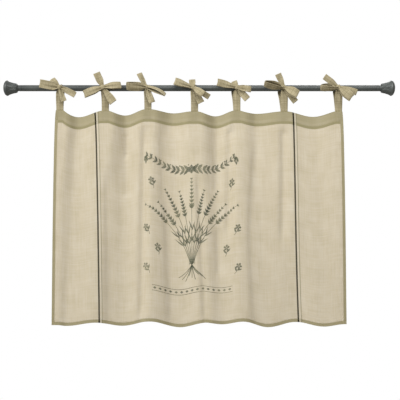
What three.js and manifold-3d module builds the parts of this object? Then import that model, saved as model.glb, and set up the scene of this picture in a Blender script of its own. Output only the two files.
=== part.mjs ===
// Cafe curtain of sheer linen, tied with bows to a round metal rod that has bell-shaped ends.
// Millimetres. +X runs along the rod, +Y away from the viewer and +Z up.
// The origin is on the rod's axis, half way along it.

import * as THREE from "three";
import { mergeVertices } from "three/addons/utils/BufferGeometryUtils.js";
import Module from "manifold-3d";

const wasm = await Module();
wasm.setup();

// Clearance between pieces that touch on the real curtain
const GAP = 0.3;

// Rod: a thin steel tube
const ROD_RADIUS = 8.5;
const ROD_WALL = 1;
const ROD_LENGTH = 992;
const ROUND_STEPS = 24;

// Finial: a cast bell with a domed end, a shank as thick as the rod and a spigot inside the tube
const SHANK_LENGTH = 13;
const NECK_RADIUS = 12.3;
const NECK_ROUND = 1.2;
const NECK_TAPER = 2.7;
const BELL_LENGTH = 28;
const BELL_FLARE = 8;
const LIP_RADIUS = 21.8;
const LIP_EDGE = 0.8;
const DOME_DEPTH = 10.5;
const TIP_RADIUS = 7.5;
const SPIGOT_LENGTH = 22;
const CURVE_STEPS = 6;

// Panel: one length of linen, thicker where its heading and hems are turned
const CLOTH = 1.2;
const TURNED_EXTRA = 0.8;
const HEADING = 35;
const SIDE_HEM = 8.5;
const BOTTOM_HEM = 9.5;
const HEM_STEP = 1.5;
const DROP = 590;
const LEFT_EDGE = { top: -399.5, hem: -413 };
const RIGHT_EDGE = { top: 399, hem: 412 };
const PANEL_COLUMNS = 84;
const PANEL_ROWS = 9;
const ROW_SAMPLES = 480;
// A sag with a rounder bottom and flatter shoulders than a plain sine
const SAG_POWER = 1.3;
// The heading stays flat a little past each strap, and the cloth below comes free over a share of the drop
const HOLD_MARGIN = 6;
const HOLD_SHARE = 0.3;

// Straps and bows
const STRAP_WIDTH = 20;
const STRAP = 1.2;
const STRAP_SEWN = 25;
const STRAP_TOP_WIDTH = 13;
const WRAP = { start: -10, end: 158, steps: 10 };
const RIBBON = 1.2;
const RIBBON_KNOT_WIDTH = 9;
const WELD = 1e-4;
const KNOT = { y: -15, z: 1, across: 7, deep: 5.5, tall: 7 };
const KNOT_STEPS = 8;
const TAIL_STEPS = 4;
const LOOP_STEPS = 11;
const LOOP_START = 0.35;

// One row for each tie, and the fold of cloth below it.
// x: along the rod; hold: heading below the rod's axis; knot: sideways place of the knot from the strap;
// lean: sideways place of the back strap at the rod; depth: how far the cloth stands to the front;
// hemX, hemDepth, hemDrop: where the same fold meets the bottom edge
const TIES = [
  { x: -389, hold: 62, knot: -1, lean: 0, depth: 8, hemX: -396, hemDepth: 2, hemDrop: 663 },
  { x: -262, hold: 64, knot: -6, lean: -1, depth: 9, hemX: -289, hemDepth: 7, hemDrop: 655.5 },
  { x: -143, hold: 60, knot: -5, lean: -2, depth: 10, hemX: -138, hemDepth: 9, hemDrop: 652 },
  { x: -13, hold: 66, knot: -5, lean: 0, depth: 9, hemX: 19, hemDepth: 7, hemDrop: 656 },
  { x: 105, hold: 64, knot: -1, lean: -4, depth: 10, hemX: 123, hemDepth: 8, hemDrop: 652.5 },
  { x: 237, hold: 66, knot: -2, lean: -6, depth: 8, hemX: 271, hemDepth: -3, hemDrop: 655.5 },
  { x: 389, hold: 66, knot: -2, lean: -3, depth: 8, hemX: 409, hemDepth: 4, hemDrop: 660 },
];

// One row for each gap between ties, and the hollow fold below it.
// low: share of the gap where the heading sags lowest; sag: how far; turn: how early the cloth turns back
const GAPS = [
  { low: 0.38, sag: 18, turn: 1.05, depth: -4, hemX: -373, hemDepth: -2, hemDrop: 666 },
  { low: 0.46, sag: 13.5, turn: 1.15, depth: -8, hemX: -216, hemDepth: -9, hemDrop: 666.5 },
  { low: 0.52, sag: 6.5, turn: 1, depth: -7, hemX: -54, hemDepth: -11, hemDrop: 671 },
  { low: 0.5, sag: 13, turn: 1.3, depth: -8, hemX: 64, hemDepth: -3, hemDrop: 661.5 },
  { low: 0.4, sag: 7, turn: 1.3, depth: -3, hemX: 193, hemDepth: -7, hemDrop: 670 },
  { low: 0.54, sag: 14.5, turn: 0.8, depth: 2, hemX: 349, hemDepth: 0, hemDrop: 667.5 },
];

// One row for each bend of a front strap above the heading.
// rise: share of the way from the heading up to the knot; sideways: share of the knot's sideways place;
// front: distance in front of the rod's axis; width
const STRAP_BENDS = [
  { rise: 0.4, sideways: 0, front: 10, width: STRAP_WIDTH },
  { rise: 0.7, sideways: 0.1, front: 11.5, width: STRAP_WIDTH },
  { rise: 0.88, sideways: 0.5, front: 11.8, width: STRAP_WIDTH - 2 },
  { rise: 1, sideways: 1, front: 12.1, width: STRAP_TOP_WIDTH },
];

// One row for each loop or free end of a bow, seen from the front.
// turn: degrees from +X towards +Z; reach and width; fore: how far its end stands to the front;
// bulge: half the opening of a loop; roll: turn about its own length; droop: how far its end sags;
// spread: share of the reach at which it has its full width
const BOWS = [
  [
    { form: "loop", turn: 170, reach: 52, width: 23, fore: 10, bulge: 5, roll: -8, droop: 0, spread: 0.3 },
    { form: "loop", turn: 131, reach: 31, width: 16, fore: -6, bulge: 3, roll: 10, droop: 0, spread: 0.6 },
    { form: "tail", turn: -22, reach: 50, width: 17, fore: 7, bulge: 0, roll: 8, droop: 4, spread: 0.5 },
    { form: "tail", turn: -70, reach: 42, width: 15, fore: 3, bulge: 0, roll: -14, droop: 0, spread: 0.8 },
  ],
  [
    { form: "tail", turn: 114, reach: 43, width: 20, fore: 3, bulge: 0, roll: 10, droop: 0, spread: 0.5 },
    { form: "loop", turn: 200, reach: 54, width: 20, fore: 10, bulge: 5, roll: 6, droop: 3, spread: 0.55 },
    { form: "loop", turn: 9, reach: 52, width: 19, fore: 9, bulge: 5, roll: -6, droop: 4, spread: 0.6 },
    { form: "tail", turn: -55, reach: 52, width: 23, fore: 6, bulge: 0, roll: 12, droop: 1, spread: 0.8 },
  ],
  [
    { form: "loop", turn: 179, reach: 53, width: 22, fore: 16, bulge: 7, roll: -30, droop: 0, spread: 0.4 },
    { form: "tail", turn: 116, reach: 44, width: 16, fore: -6, bulge: 0, roll: 24, droop: 0, spread: 0.6 },
    { form: "loop", turn: -12, reach: 55, width: 15, fore: 9, bulge: 4, roll: -54, droop: 11, spread: 0.5 },
    { form: "tail", turn: -68, reach: 47, width: 18, fore: 4, bulge: 0, roll: -10, droop: 0, spread: 0.6 },
  ],
  [
    { form: "loop", turn: 163, reach: 52, width: 20, fore: 10, bulge: 5, roll: 4, droop: 0, spread: 0.9 },
    { form: "tail", turn: 95, reach: 22, width: 18, fore: -6, bulge: 0, roll: 0, droop: 0, spread: 0.6 },
    { form: "loop", turn: -38, reach: 37, width: 19, fore: 14, bulge: 5.5, roll: -12, droop: 0, spread: 0.6 },
    { form: "tail", turn: -30, reach: 53, width: 16, fore: 5, bulge: 0, roll: 10, droop: 2, spread: 0.6 },
    { form: "tail", turn: -62, reach: 50, width: 20, fore: 3, bulge: 0, roll: -12, droop: 0, spread: 0.9 },
  ],
  [
    { form: "loop", turn: 167, reach: 55, width: 20, fore: 10, bulge: 5, roll: -4, droop: 0, spread: 0.7 },
    { form: "tail", turn: 112, reach: 19, width: 16, fore: -6, bulge: 0, roll: 0, droop: 0, spread: 0.6 },
    { form: "loop", turn: -10, reach: 40, width: 17, fore: 12, bulge: 5, roll: 6, droop: 1, spread: 0.5 },
    { form: "tail", turn: -48, reach: 45, width: 19, fore: 4, bulge: 0, roll: 10, droop: 1, spread: 0.7 },
  ],
  [
    { form: "tail", turn: 114, reach: 40, width: 18, fore: 2, bulge: 0, roll: 6, droop: 0, spread: 0.7 },
    { form: "loop", turn: 171, reach: 55, width: 20, fore: 10, bulge: 6.5, roll: -52, droop: 0, spread: 0.6 },
    { form: "loop", turn: -28, reach: 43, width: 25, fore: 13, bulge: 5, roll: -16, droop: 2, spread: 0.6 },
    { form: "tail", turn: -51, reach: 53, width: 17, fore: 1, bulge: 0, roll: 8, droop: 0, spread: 0.7 },
  ],
  [
    { form: "tail", turn: 144, reach: 49, width: 18, fore: 4, bulge: 0, roll: 4, droop: 0, spread: 0.5 },
    { form: "loop", turn: 183, reach: 51, width: 19, fore: 11, bulge: 6.5, roll: -40, droop: 0, spread: 0.8 },
    { form: "tail", turn: -13, reach: 53, width: 17, fore: 1, bulge: 0, roll: 6, droop: 3, spread: 0.6 },
    { form: "loop", turn: -41, reach: 46, width: 24, fore: 13, bulge: 5, roll: -10, droop: 1, spread: 0.6 },
  ],
];

const graphite = { color: 0x4b4f4e, roughness: 0.45, metalness: 0.6 };
const panelLinen = { color: 0xd2c4a5, roughness: 0.95, metalness: 0 };
const tieLinen = { color: 0xb2a47c, roughness: 0.95, metalness: 0 };

const mix = THREE.MathUtils.lerp;
const clamp = THREE.MathUtils.clamp;
const smoothstep = THREE.MathUtils.smoothstep;

function wave(share) {
  return (1 - Math.cos(Math.PI * share)) / 2;
}

function namedMesh(name, geometry, finish) {
  const mesh = new THREE.Mesh(geometry, new THREE.MeshStandardMaterial(finish));
  mesh.name = name;
  return mesh;
}

// Rod and finials

function rodTube() {
  const section = new THREE.Shape();
  section.absarc(0, 0, ROD_RADIUS, 0, 2 * Math.PI);
  const bore = new THREE.Path();
  bore.absarc(0, 0, ROD_RADIUS - ROD_WALL, 0, 2 * Math.PI, true);
  section.holes.push(bore);
  const options = { depth: ROD_LENGTH, bevelEnabled: false, curveSegments: ROUND_STEPS / 2 };
  const geometry = new THREE.ExtrudeGeometry(section, options);
  geometry.translate(0, 0, -ROD_LENGTH / 2);
  geometry.rotateY(Math.PI / 2);
  return namedMesh("rod", geometry, graphite);
}

// The half section of a finial, from its spigot in the tube out to its flat tip
function finialProfile() {
  const neck = SHANK_LENGTH + NECK_ROUND;
  const lip = SHANK_LENGTH + BELL_LENGTH;
  const spigotRadius = ROD_RADIUS - ROD_WALL - GAP;
  const section = new THREE.Path();
  section.moveTo(0, -SPIGOT_LENGTH);
  section.lineTo(spigotRadius, -SPIGOT_LENGTH);
  section.lineTo(spigotRadius, GAP);
  section.lineTo(ROD_RADIUS, GAP);
  section.lineTo(ROD_RADIUS, SHANK_LENGTH);
  section.quadraticCurveTo(NECK_RADIUS, SHANK_LENGTH, NECK_RADIUS, neck);
  section.quadraticCurveTo(NECK_RADIUS + NECK_TAPER, lip - BELL_FLARE, LIP_RADIUS, lip - LIP_EDGE);
  section.lineTo(LIP_RADIUS, lip);
  const points = section.getPoints(CURVE_STEPS);
  const tipAngle = Math.acos(TIP_RADIUS / LIP_RADIUS);
  for (let step = 1; step <= CURVE_STEPS; step += 1) {
    const angle = (tipAngle * step) / CURVE_STEPS;
    points.push(new THREE.Vector2(LIP_RADIUS * Math.cos(angle), lip + DOME_DEPTH * Math.sin(angle)));
  }
  points.push(new THREE.Vector2(0, lip + DOME_DEPTH * Math.sin(tipAngle)));
  return points;
}

function finial(name, side) {
  const mesh = namedMesh(name, new THREE.LatheGeometry(finialProfile(), ROUND_STEPS), graphite);
  mesh.position.x = (side * ROD_LENGTH) / 2;
  mesh.rotation.z = (-side * Math.PI) / 2;
  return mesh;
}

// Panel: fold lines run from the heading to the hem, a ridge below each tie and a hollow below each gap

function gapEnds(index) {
  return [TIES[index].x + STRAP_WIDTH / 2, TIES[index + 1].x - STRAP_WIDTH / 2];
}

function foldLines() {
  const lines = [];
  TIES.forEach((tie, index) => {
    lines.push({ ...tie, turn: 1, hold: STRAP_WIDTH / 2 + HOLD_MARGIN });
    if (index < GAPS.length) {
      const [start, end] = gapEnds(index);
      const gap = GAPS[index];
      lines.push({ ...gap, x: mix(start, end, gap.low), hold: 0 });
    }
  });
  return lines;
}

const FOLDS = foldLines();

// Height of the heading's top edge: level at each strap and sagging between straps
function topEdge(x) {
  for (let index = 0; index < GAPS.length; index += 1) {
    const [start, end] = gapEnds(index);
    if (x > start && x < end) {
      const { low, sag } = GAPS[index];
      const share = (x - start) / (end - start);
      const skew = Math.log(0.5) / Math.log(low);
      const level = mix(TIES[index].hold, TIES[index + 1].hold, share);
      return -level - sag * Math.sin(Math.PI * share ** skew) ** SAG_POWER;
    }
  }
  const nearest = TIES.reduce((best, tie) => (Math.abs(tie.x - x) < Math.abs(best.x - x) ? tie : best));
  return -nearest.hold;
}

// How far the cloth stands to the front, and how far its bottom edge hangs, at x and share down
function foldAt(x, down) {
  const heading = HEADING / DROP;
  const below = Math.max(0, (down - heading) / (1 - heading));
  const flat = Math.max(0, 1 - below / HOLD_SHARE);
  const lines = FOLDS.map((fold) => ({
    ...fold,
    x: mix(fold.x, fold.hemX, below),
    depth: mix(fold.depth, fold.hemDepth, below),
    hold: fold.hold * flat,
  }));
  let right = lines.findIndex((line) => line.x >= x);
  if (right === -1) {
    right = lines.length;
  }
  const a = lines[Math.max(0, right - 1)];
  const b = lines[Math.min(lines.length - 1, right)];
  const span = b.x - b.hold - a.x - a.hold;
  const share = span > 0 ? clamp((x - a.x - a.hold) / span, 0, 1) : 0;
  const early = mix(b.turn, 1, below);
  return {
    depth: mix(a.depth, b.depth, wave(share ** early)),
    hemDrop: mix(a.hemDrop, b.hemDrop, wave(share)),
  };
}

// One level line across the cloth, as points with their length along the thread
function threadLine(down) {
  const ease = Math.sqrt(down);
  const left = mix(LEFT_EDGE.top, LEFT_EDGE.hem, ease);
  const right = mix(RIGHT_EDGE.top, RIGHT_EDGE.hem, ease);
  const line = [];
  let along = 0;
  for (let step = 0; step <= ROW_SAMPLES; step += 1) {
    const x = mix(left, right, step / ROW_SAMPLES);
    const point = new THREE.Vector3(x, -foldAt(x, down).depth, (1 - down) * topEdge(x));
    along += step > 0 ? point.distanceTo(line[step - 1].point) : 0;
    line.push({ point, along });
  }
  return line;
}

// Place on a thread line at a share of its length
function onThread(line, across) {
  const target = across * line[ROW_SAMPLES].along;
  const next = Math.max(1, line.findIndex((sample) => sample.along >= target));
  const a = line[next - 1];
  const b = line[next];
  const share = (target - a.along) / (b.along - a.along);
  return a.point.clone().lerp(b.point, share);
}

// Even stops between two hems, with a short step where each hem ends
function hemmedStops(length, firstHem, lastHem, count) {
  const stops = [0, firstHem - HEM_STEP, firstHem];
  const last = length - lastHem;
  for (let step = 1; step < count; step += 1) {
    stops.push(mix(firstHem, last, step / count));
  }
  stops.push(last, last + HEM_STEP, length);
  return stops;
}

function panel() {
  const topLine = threadLine(0);
  const width = topLine[ROW_SAMPLES].along;
  const columns = hemmedStops(width, SIDE_HEM, SIDE_HEM, PANEL_COLUMNS);
  const rows = hemmedStops(DROP, HEADING, BOTTOM_HEM, PANEL_ROWS);
  const front = [];
  const back = [];
  const sideStep = 1 / width;
  rows.forEach((row) => {
    const down = row / DROP;
    const line = threadLine(down);
    columns.forEach((column) => {
      const across = column / width;
      const place = onThread(line, across);
      const before = onThread(line, Math.max(0, across - sideStep));
      const after = onThread(line, Math.min(1, across + sideStep));
      const top = onThread(topLine, across).z;
      place.z = mix(top, -foldAt(place.x, down).hemDrop, down);
      const toFront = new THREE.Vector3(after.y - before.y, before.x - after.x, 0).normalize();
      const inHem =
        row < HEADING || row > DROP - BOTTOM_HEM || column < SIDE_HEM || column > width - SIDE_HEM;
      const backThickness = CLOTH / 2 + (inHem ? TURNED_EXTRA : 0);
      front.push(place.clone().addScaledVector(toFront, CLOTH / 2));
      back.push(place.clone().addScaledVector(toFront, -backThickness));
    });
  });
  return namedMesh("curtain_panel", sheetGeometry(front, back, columns.length, rows.length), panelLinen);
}

// Closed skin of a sheet from its front and back points, row by row from the top
function sheetGeometry(front, back, columns, rows) {
  const positions = [...front, ...back].flatMap((point) => point.toArray());
  const behind = columns * rows;
  const faces = [];
  const quad = (a, b, c, d) => faces.push(a, b, c, a, c, d);
  for (let row = 0; row < rows - 1; row += 1) {
    for (let column = 0; column < columns - 1; column += 1) {
      const a = row * columns + column;
      const b = a + columns;
      quad(a, b, b + 1, a + 1);
      quad(a + behind, a + 1 + behind, b + 1 + behind, b + behind);
    }
  }
  for (let column = 0; column < columns - 1; column += 1) {
    const top = column;
    const hem = (rows - 1) * columns + column;
    quad(top, top + 1, top + 1 + behind, top + behind);
    quad(hem, hem + behind, hem + 1 + behind, hem + 1);
  }
  for (let row = 0; row < rows - 1; row += 1) {
    const left = row * columns;
    const right = left + columns - 1;
    quad(left, left + behind, left + columns + behind, left + columns);
    quad(right, right + columns, right + columns + behind, right + behind);
  }
  return indexedGeometry(positions, faces);
}

function indexedGeometry(positions, faces) {
  const geometry = new THREE.BufferGeometry();
  geometry.setAttribute("position", new THREE.Float32BufferAttribute(positions, 3));
  geometry.setIndex(faces);
  geometry.computeVertexNormals();
  return geometry;
}

// Straps and bows are ribbons: flat sections that follow a path

// Each section has a centre, the direction across the ribbon and the ribbon's width there
function ribbonGeometry(sections, thickness) {
  const positions = [];
  const faces = [];
  const quad = (a, b, c, d) => faces.push(a, b, c, a, c, d);
  sections.forEach(({ centre, across, width }, index) => {
    const before = sections[Math.max(0, index - 1)].centre;
    const after = sections[Math.min(sections.length - 1, index + 1)].centre;
    const along = after.clone().sub(before).normalize();
    const side = across.clone().addScaledVector(along, -across.dot(along)).normalize();
    const up = new THREE.Vector3().crossVectors(along, side);
    const corners = [[-1, -1], [1, -1], [1, 1], [-1, 1]];
    corners.forEach(([sideways, upwards]) => {
      const corner = centre.clone();
      corner.addScaledVector(side, (sideways * width) / 2);
      corner.addScaledVector(up, (upwards * thickness) / 2);
      positions.push(...corner.toArray());
    });
    if (index > 0) {
      const from = (index - 1) * 4;
      const to = index * 4;
      for (let edge = 0; edge < 4; edge += 1) {
        const next = (edge + 1) % 4;
        quad(from + edge, from + next, to + next, to + edge);
      }
    }
  });
  const end = (sections.length - 1) * 4;
  quad(0, 3, 2, 1);
  quad(end, end + 1, end + 2, end + 3);
  return indexedGeometry(positions, faces);
}

const ALONG_ROD = new THREE.Vector3(1, 0, 0);

// Middle of the straps' depth where they are sewn flat behind the heading
function sewnDepth(tie, layer) {
  const headingBack = -tie.depth + CLOTH / 2 + TURNED_EXTRA;
  return headingBack + GAP + STRAP / 2 + layer * (STRAP + GAP);
}

// The stretch of a strap that is sewn down, from its lower end to the heading's top edge
function sewnSections(tie, layer) {
  const y = sewnDepth(tie, layer);
  return [STRAP_SEWN, 0].map((below) => ({
    centre: new THREE.Vector3(tie.x, y, -tie.hold - below),
    across: ALONG_ROD,
    width: STRAP_WIDTH,
  }));
}

function frontStrap(tie) {
  const sections = sewnSections(tie, 0);
  const knotUnderside = KNOT.z - KNOT.tall;
  STRAP_BENDS.forEach(({ rise, sideways, front, width }) => {
    const z = mix(-tie.hold, knotUnderside, rise);
    const centre = new THREE.Vector3(tie.x + sideways * tie.knot, -front, z);
    sections.push({ centre, across: ALONG_ROD, width });
  });
  return sections;
}

function backStrap(tie) {
  const sections = sewnSections(tie, 1);
  const radius = ROD_RADIUS + 2 * GAP + STRAP / 2;
  const behind = mix(sewnDepth(tie, 1), radius, 0.5);
  const half = new THREE.Vector3(tie.x + tie.lean / 2, behind, -tie.hold / 2);
  sections.push({ centre: half, across: ALONG_ROD, width: STRAP_WIDTH });
  for (let step = 0; step <= WRAP.steps; step += 1) {
    const share = step / WRAP.steps;
    const angle = THREE.MathUtils.degToRad(mix(WRAP.start, WRAP.end, share));
    const x = tie.x + mix(tie.lean, tie.knot, share);
    const centre = new THREE.Vector3(x, radius * Math.cos(angle), radius * Math.sin(angle));
    sections.push({ centre, across: ALONG_ROD, width: mix(STRAP_WIDTH, STRAP_TOP_WIDTH, share) });
  }
  return sections;
}

// Directions of a bow's loop or free end: along it, across it and through it
function bowAxes({ turn, roll }) {
  const angle = THREE.MathUtils.degToRad(turn);
  const along = new THREE.Vector3(Math.cos(angle), 0, Math.sin(angle));
  const rolled = THREE.MathUtils.degToRad(roll);
  const across = new THREE.Vector3(-Math.sin(angle), 0, Math.cos(angle)).applyAxisAngle(along, rolled);
  const through = new THREE.Vector3(0, -1, 0).applyAxisAngle(along, rolled);
  return { along, across, through };
}

function bowPoint(end, axes, share, offset) {
  const point = axes.along.clone().multiplyScalar(end.reach * share);
  point.addScaledVector(axes.through, offset);
  point.y -= end.fore * share;
  point.z -= end.droop * share * share;
  return point;
}

function bowWidth(end, share) {
  return mix(RIBBON_KNOT_WIDTH, end.width, smoothstep(share, 0, end.spread));
}

function tailSections(end) {
  const axes = bowAxes(end);
  return Array.from({ length: TAIL_STEPS + 1 }, (_, step) => {
    const share = step / TAIL_STEPS;
    return { centre: bowPoint(end, axes, share, 0), across: axes.across, width: bowWidth(end, share) };
  });
}

function loopSections(end) {
  const axes = bowAxes(end);
  return Array.from({ length: LOOP_STEPS + 1 }, (_, step) => {
    const angle = mix(LOOP_START, 2 * Math.PI - LOOP_START, step / LOOP_STEPS);
    const share = wave(angle / Math.PI);
    const centre = bowPoint(end, axes, share, end.bulge * Math.sin(angle));
    return { centre, across: axes.across, width: bowWidth(end, share) };
  });
}

function solidOf(geometry) {
  const bare = geometry.clone();
  bare.deleteAttribute("normal");
  bare.deleteAttribute("uv");
  const merged = mergeVertices(bare, WELD);
  const vertProperties = new Float32Array(merged.attributes.position.array);
  const triVerts = new Uint32Array(merged.index.array);
  return new wasm.Manifold(new wasm.Mesh({ numProp: 3, vertProperties, triVerts }));
}

function bow(tie, ends) {
  const knot = new THREE.SphereGeometry(1, KNOT_STEPS, KNOT_STEPS - 2);
  knot.scale(KNOT.across, KNOT.deep, KNOT.tall);
  let solid = solidOf(knot);
  ends.forEach((end) => {
    const sections = end.form === "loop" ? loopSections(end) : tailSections(end);
    solid = solid.add(solidOf(ribbonGeometry(sections, RIBBON)));
  });
  const { vertProperties, triVerts } = solid.getMesh();
  const geometry = indexedGeometry(Array.from(vertProperties), Array.from(triVerts));
  geometry.translate(tie.x + tie.knot, KNOT.y, KNOT.z);
  return geometry;
}

const curtain = new THREE.Group();
curtain.add(rodTube());
curtain.add(finial("finial_left", -1));
curtain.add(finial("finial_right", 1));
curtain.add(panel());
TIES.forEach((tie, index) => {
  const name = `tie_${index + 1}`;
  curtain.add(namedMesh(`${name}_front_strap`, ribbonGeometry(frontStrap(tie), STRAP), tieLinen));
  curtain.add(namedMesh(`${name}_back_strap`, ribbonGeometry(backStrap(tie), STRAP), tieLinen));
  curtain.add(namedMesh(`${name}_bow`, bow(tie, BOWS[index]), tieLinen));
});

export default curtain;
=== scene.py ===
"""Cafe curtain of sheer linen, tied with bows to a round rod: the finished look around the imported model."""
import math
from types import SimpleNamespace

import bpy
import numpy as np
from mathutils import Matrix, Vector, noise


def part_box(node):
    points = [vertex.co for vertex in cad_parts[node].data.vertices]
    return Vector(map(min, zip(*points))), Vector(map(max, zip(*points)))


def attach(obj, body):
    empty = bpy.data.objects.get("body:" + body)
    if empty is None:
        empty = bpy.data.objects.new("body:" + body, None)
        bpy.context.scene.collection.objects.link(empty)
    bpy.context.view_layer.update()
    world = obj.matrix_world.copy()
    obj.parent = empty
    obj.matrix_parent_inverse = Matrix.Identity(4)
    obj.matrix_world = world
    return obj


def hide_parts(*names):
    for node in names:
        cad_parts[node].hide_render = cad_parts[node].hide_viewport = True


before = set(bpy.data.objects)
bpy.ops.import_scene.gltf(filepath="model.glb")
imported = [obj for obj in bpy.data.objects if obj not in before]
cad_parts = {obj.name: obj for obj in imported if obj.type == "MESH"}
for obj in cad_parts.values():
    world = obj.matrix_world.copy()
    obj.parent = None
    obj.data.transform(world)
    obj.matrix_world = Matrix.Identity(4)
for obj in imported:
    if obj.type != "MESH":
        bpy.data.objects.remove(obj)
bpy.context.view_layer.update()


# Rod
# A drawn steel tube of 17 mm with a 1 mm wall, cut square and painted satin graphite.
# It lies level and everything else is tied to it or plugged into its ends.
MM = 0.001
ROD_WALL = 1.0 * MM
ROD_CUT_EDGE = 0.3 * MM
ROD_SIDES = 72
GRAPHITE_DARK = "3d4242"
GRAPHITE_LIGHT = "535856"
PAINT_GRIT = 2.0 * MM
ROD_CLOUDS = 40.0 * MM


def linear(colour):
    """Linear RGBA of an sRGB hex colour."""
    parts = [int(colour[start:start + 2], 16) / 255 for start in (0, 2, 4)]
    return [p / 12.92 if p <= 0.04045 else ((p + 0.055) / 1.055) ** 2.4 for p in parts] + [1.0]


def add_node(tree, kind, settings=None, **sockets):
    """A new node with its settings, and its sockets set to values or linked to other nodes' outputs."""
    made = tree.nodes.new(kind)
    for name, value in (settings or {}).items():
        setattr(made, name, value)
    for name, value in sockets.items():
        key = int(name[1:]) if name[1:].isdigit() else name.replace("_", " ")
        if isinstance(value, bpy.types.NodeSocket):
            tree.links.new(value, made.inputs[key])
        else:
            made.inputs[key].default_value = value
    return made


def new_material(name):
    """An empty node material, with its tree and its output node."""
    made = bpy.data.materials.new(name)
    made.use_nodes = True
    made.node_tree.nodes.clear()
    return made, made.node_tree, made.node_tree.nodes.new("ShaderNodeOutputMaterial")


def ramp_stops(node, stops):
    """Sets a colour ramp to (place, colour) stops."""
    ramp = node.color_ramp
    while len(ramp.elements) < len(stops):
        ramp.elements.new(1.0)
    for element, (place, colour) in zip(ramp.elements, stops):
        element.position = place
        element.color = colour


def rescale(tree, value, **ends):
    """A value moved from one range to another."""
    return add_node(tree, "ShaderNodeMapRange", Value=value, **ends).outputs["Result"]


def calculate(tree, operation, first, second):
    return add_node(tree, "ShaderNodeMath", {"operation": operation}, s0=first, s1=second).outputs["Value"]


def mix_colours(tree, share, first, second):
    return add_node(tree, "ShaderNodeMix", {"data_type": "RGBA"}, s0=share, s6=first, s7=second).outputs[2]


def patches(tree, place, size, detail):
    """Uneven patches of about a given size."""
    return add_node(tree, "ShaderNodeTexNoise", Vector=place, Scale=1 / size, Detail=detail).outputs["Fac"]


def shades(tree, value, *stops):
    """A value turned into a colour by (place, hex colour) stops."""
    ramp = add_node(tree, "ShaderNodeValToRGB", Fac=value)
    ramp_stops(ramp, [(place, linear(colour)) for place, colour in stops])
    return ramp.outputs["Color"]


def graphite_paint():
    """Satin graphite paint, sprayed and baked: dark, a little cloudy, with a fine grit that dulls its shine.
    The real grit is near 0.3 mm; it is drawn at 2 mm so that it shows."""
    made, tree, out = new_material("graphite_paint_sprayed")
    place = add_node(tree, "ShaderNodeTexCoord").outputs["Object"]
    clouds = patches(tree, place, ROD_CLOUDS, 4.0)
    grit = patches(tree, place, PAINT_GRIT, 3.0)
    colour = shades(tree, clouds, (0.3, GRAPHITE_DARK), (0.7, GRAPHITE_LIGHT))
    rough = rescale(tree, grit, To_Min=0.36, To_Max=0.5)
    bump = add_node(tree, "ShaderNodeBump", Height=grit, Strength=0.1, Distance=0.1 * MM)
    paint = add_node(tree, "ShaderNodeBsdfPrincipled", Base_Color=colour, Roughness=rough, Metallic=0.1,
                     Normal=bump.outputs["Normal"])
    tree.links.new(paint.outputs["BSDF"], out.inputs["Surface"])
    return made


def mesh_piece(name, points, faces, material, slot, replaced=()):
    """A smooth mesh from points and faces that rides on the one body and stands for CAD nodes."""
    mesh = bpy.data.meshes.new(name)
    mesh.from_pydata([tuple(point) for point in points], [], [tuple(face) for face in faces])
    mesh.materials.append(material)
    mesh.shade_smooth()
    piece = bpy.data.objects.new(name, mesh)
    bpy.context.collection.objects.link(piece)
    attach(piece, "root")
    if replaced:
        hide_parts(*replaced)
    return piece


def turned(profile, sides, relief=None):
    """Points and faces of a profile of (x, radius) turned about the X axis, plus a relief.
    The profile closes on itself, or starts and ends on the axis."""
    points = []
    rings = []
    for x, radius in profile:
        count = sides if radius > 0 else 1
        rings.append(range(len(points), len(points) + count))
        for side in range(count):
            angle = 2 * math.pi * side / sides
            r = radius + (relief(x, radius, angle) if relief and radius > 0 else 0)
            points.append((x, -r * math.sin(angle), r * math.cos(angle)))
    faces = []
    open_ends = profile[0][1] == 0
    for index in range(len(rings) - 1 if open_ends else len(rings)):
        a = rings[index]
        b = rings[(index + 1) % len(rings)]
        for side in range(sides):
            after = (side + 1) % sides
            if len(a) == 1:
                faces.append((a[0], b[after], b[side]))
            elif len(b) == 1:
                faces.append((a[side], a[after], b[0]))
            else:
                faces.append((a[side], a[after], b[after], b[side]))
    return points, faces


rod_low, rod_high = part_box("rod")
rod_radius = (rod_high.z - rod_low.z) / 2
rod_end = rod_high.x
rod_bore = rod_radius - ROD_WALL
rod_profile = [
    (-rod_end, rod_bore), (-rod_end, rod_radius - ROD_CUT_EDGE), (-rod_end + ROD_CUT_EDGE, rod_radius),
    (rod_end - ROD_CUT_EDGE, rod_radius), (rod_end, rod_radius - ROD_CUT_EDGE), (rod_end, rod_bore),
]
graphite = graphite_paint()
mesh_piece("rod_tube", *turned(rod_profile, ROD_SIDES), graphite, "graphite_metal", ["rod"])
bpy.data.objects["rod_tube"].data.set_sharp_from_angle(angle=math.radians(40))


# Finials
# A cast bell on each end of the rod, with a shank as thick as the tube and a spigot pushed into its bore.
# Its flare is cast with a ring of leaves and its domed end with shallow flutes, under the same paint.
SHANK = 13 * MM
SHANK_GROOVE = 0.35 * MM
NECK_RADIUS = 12.3 * MM
NECK_ROUND = 1.2 * MM
NECK_TAPER = 2.7 * MM
BELL = 28 * MM
BELL_FLARE = 8 * MM
LIP_RADIUS = 21.5 * MM
LIP_EDGE = 0.8 * MM
DOME_DEPTH = 10.5 * MM
TIP_RADIUS = 7.5 * MM
SPIGOT = 22 * MM
SPIGOT_PLAY = 0.3 * MM
FINIAL_SIDES = 144
LEAVES = 7
LEAF_RELIEF = 1.3 * MM
LEAF_SINK = 0.4
LEAF_END = 0.9
VEIN_WIDTH = 0.12
VEIN_DEPTH = 0.55
DOME_FLUTES = 14
DOME_RELIEF = 0.8 * MM
FLUTE_START = 0.5 * MM
FLUTE_FADE = 3 * MM


def curve_between(start, handle, end, steps):
    """Points of a quadratic curve, without its start."""
    made = []
    for step in range(1, steps + 1):
        t = step / steps
        weights = ((1 - t) ** 2, 2 * t * (1 - t), t * t)
        made.append(tuple(sum(w * p[axis] for w, p in zip(weights, (start, handle, end))) for axis in (0, 1)))
    return made


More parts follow.
